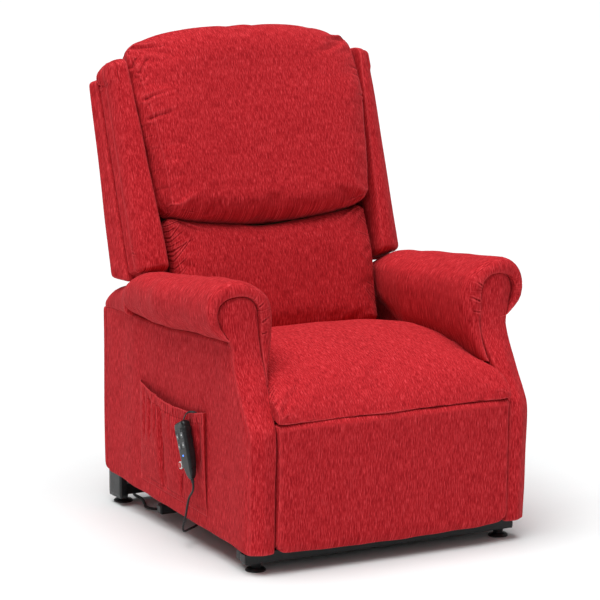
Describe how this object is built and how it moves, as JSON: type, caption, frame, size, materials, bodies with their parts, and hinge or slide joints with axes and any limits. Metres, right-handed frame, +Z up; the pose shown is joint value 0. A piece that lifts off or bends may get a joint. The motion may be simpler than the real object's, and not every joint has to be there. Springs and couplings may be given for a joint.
{
  "type": "lift recliner chair",
  "caption": "Upholstered lift recliner chair: reclining winged back, scroll arms, fold-out footrest, motorised tilting lift base, side pocket and corded handset.",
  "frame": {"origin": "on the floor, under the centre of the chair's bounding box", "axes": "+Z up; the chair faces -Y; +X is the sitter's left"},
  "size_m": [0.785, 0.94, 1.1084],
  "materials": {
    "fabric": "red chenille upholstery with a streaky vertical weave",
    "plywood": "raw plywood",
    "black_plastic": "moulded black plastic",
    "zinc_steel": "bright zinc",
    "button_plastic": "dark grey soft-touch plastic",
    "cable_rubber": "matt black cable sheath",
    "frame_paint": "satin black powder coat"
  },
  "bodies": {
    "base": {"base_front_tube": "frame_paint", "base_front_brace": "frame_paint", "base_mid_tube": "frame_paint", "base_rear_tube": "frame_paint", "base_rail_left": "frame_paint", "base_rail_right": "frame_paint", "lift_bracket_left": "frame_paint", "lift_bracket_right": "frame_paint", "power_supply": "black_plastic", "mains_strain_relief": "cable_rubber", "mains_lead": "cable_rubber", "mains_coil": "cable_rubber", "mains_plug": "black_plastic"},
    "foot_front_left": {"foot_front_left": "black_plastic"},
    "foot_front_right": {"foot_front_right": "black_plastic"},
    "foot_rear_left": {"foot_rear_left": "black_plastic"},
    "foot_rear_right": {"foot_rear_right": "black_plastic"},
    "lift_arms": {"lift_arm_left": "frame_paint", "lift_arm_right": "frame_paint", "lift_torque_tube": "frame_paint"},
    "guide_links": {"guide_link_left": "frame_paint", "guide_link_right": "frame_paint"},
    "lift_motor": {"lift_actuator_housing": "black_plastic"},
    "lift_rod": {"lift_actuator_rod": "zinc_steel"},
    "chassis": {"chassis_side_left": "frame_paint", "chassis_side_right": "frame_paint", "chassis_front_tube": "frame_paint", "seat_deck": "plywood", "seat_cushion": "fabric", "arm_panel_left": "fabric", "arm_panel_right": "fabric", "arm_pad_left": "fabric", "arm_pad_right": "fabric", "control_box": "black_plastic", "rear_cover": "fabric", "side_pocket": "fabric", "handset_cord": "cable_rubber"},
    "back": {"back_panel": "fabric", "back_frame": "plywood", "wing_left": "fabric", "wing_right": "fabric", "lumbar_cushion": "fabric", "head_cushion": "fabric", "recline_tube": "frame_paint"},
    "back_motor": {"back_actuator_housing": "black_plastic"},
    "back_rod": {"back_actuator_rod": "zinc_steel"},
    "footrest_lower_links": {"footrest_lower_link_left": "frame_paint", "footrest_lower_link_right": "frame_paint"},
    "footrest_upper_links": {"footrest_upper_link_left": "frame_paint", "footrest_upper_link_right": "frame_paint"},
    "footrest": {"footrest_board": "plywood", "footrest_pad": "fabric", "footrest_bracket_left": "frame_paint", "footrest_bracket_right": "frame_paint"},
    "handset": {"handset_case": "black_plastic", "handset_hook": "black_plastic"},
    "button_back_up": {"button_back_up": "button_plastic"},
    "button_back_down": {"button_back_down": "button_plastic"},
    "button_lift_up": {"button_lift_up": "button_plastic"},
    "button_lift_down": {"button_lift_down": "button_plastic"}
  },
  "joints": [
    {"name": "foot_front_left_height", "type": "slide", "parent": "base", "child": "foot_front_left", "axis": [0, 0, -1], "range_m": [0, 0.015]},
    {"name": "foot_front_right_height", "type": "slide", "parent": "base", "child": "foot_front_right", "axis": [0, 0, -1], "range_m": [0, 0.015]},
    {"name": "foot_rear_left_height", "type": "slide", "parent": "base", "child": "foot_rear_left", "axis": [0, 0, -1], "range_m": [0, 0.015]},
    {"name": "foot_rear_right_height", "type": "slide", "parent": "base", "child": "foot_rear_right", "axis": [0, 0, -1], "range_m": [0, 0.015]},
    {"name": "lift", "type": "hinge", "parent": "base", "child": "lift_arms", "pos_m": [0, -0.275, 0.068], "axis": [1, 0, 0], "range_deg": [0, 38]},
    {"name": "chassis_tilt", "type": "hinge", "parent": "lift_arms", "child": "chassis", "pos_m": [0, 0.2, 0.098], "axis": [1, 0, 0], "range_deg": [-13.1, 0]},
    {"name": "guide_link_swing", "type": "hinge", "parent": "base", "child": "guide_links", "pos_m": [0, -0.324, 0.087], "axis": [1, 0, 0], "range_deg": [0, 43.6]},
    {"name": "lift_motor_swing", "type": "hinge", "parent": "base", "child": "lift_motor", "pos_m": [-0.07, 0.3, 0.075], "axis": [1, 0, 0], "range_deg": [-8.95, 0]},
    {"name": "lift_motor_stroke", "type": "slide", "parent": "lift_motor", "child": "lift_rod", "axis": [0, -0.9871, 0.1604], "range_m": [0, 0.102]},
    {"name": "recline", "type": "hinge", "parent": "chassis", "child": "back", "pos_m": [0, 0.25, 0.35], "axis": [-1, 0, 0], "range_deg": [0, 45]},
    {"name": "back_motor_swing", "type": "hinge", "parent": "chassis", "child": "back_motor", "pos_m": [0.05, -0.16, 0.22], "axis": [1, 0, 0], "range_deg": [0, 3.4]},
    {"name": "back_motor_stroke", "type": "slide", "parent": "back_motor", "child": "back_rod", "axis": [0, 0.9976, 0.0696], "range_m": [-0.0752, 0]},
    {"name": "footrest", "type": "hinge", "parent": "chassis", "child": "footrest_lower_links", "pos_m": [0, -0.26, 0.26], "axis": [-1, 0, 0], "range_deg": [0, 95]},
    {"name": "footrest_upper_swing", "type": "hinge", "parent": "footrest_lower_links", "child": "footrest_upper_links", "pos_m": [0, -0.20528, 0.10965], "axis": [-1, 0, 0], "range_deg": [-130.2, 0]},
    {"name": "footrest_board_tilt", "type": "hinge", "parent": "footrest_upper_links", "child": "footrest", "pos_m": [0, -0.30812, 0.23222], "axis": [-1, 0, 0], "range_deg": [0, 120.2]},
    {"name": "handset_lift_off", "type": "slide", "parent": "chassis", "child": "handset", "axis": [0, 0, 1], "range_m": [0, 0.06]},
    {"name": "button_back_up_press", "type": "slide", "parent": "handset", "child": "button_back_up", "axis": [1, 0, 0], "range_m": [0, 0.001], "stiffness_N_per_m": 600},
    {"name": "button_back_down_press", "type": "slide", "parent": "handset", "child": "button_back_down", "axis": [1, 0, 0], "range_m": [0, 0.001], "stiffness_N_per_m": 600},
    {"name": "button_lift_up_press", "type": "slide", "parent": "handset", "child": "button_lift_up", "axis": [1, 0, 0], "range_m": [0, 0.001], "stiffness_N_per_m": 600},
    {"name": "button_lift_down_press", "type": "slide", "parent": "handset", "child": "button_lift_down", "axis": [1, 0, 0], "range_m": [0, 0.001], "stiffness_N_per_m": 600}
  ],
  "couplings": [
    {"joint": "chassis_tilt", "follows": "lift", "ratio": -0.34211},
    {"joint": "guide_link_swing", "follows": "lift", "ratio": 1.1439},
    {"joint": "lift_motor_swing", "follows": "lift", "ratio": -0.23377},
    {"joint": "lift_motor_stroke", "follows": "lift", "m_per_rad": 0.15271},
    {"joint": "back_motor_swing", "follows": "recline", "ratio": 0.07308},
    {"joint": "back_motor_stroke", "follows": "recline", "m_per_rad": -0.095164},
    {"joint": "footrest_upper_swing", "follows": "footrest", "ratio": -1.3684},
    {"joint": "footrest_board_tilt", "follows": "footrest", "ratio": 1.2632}
  ]
}
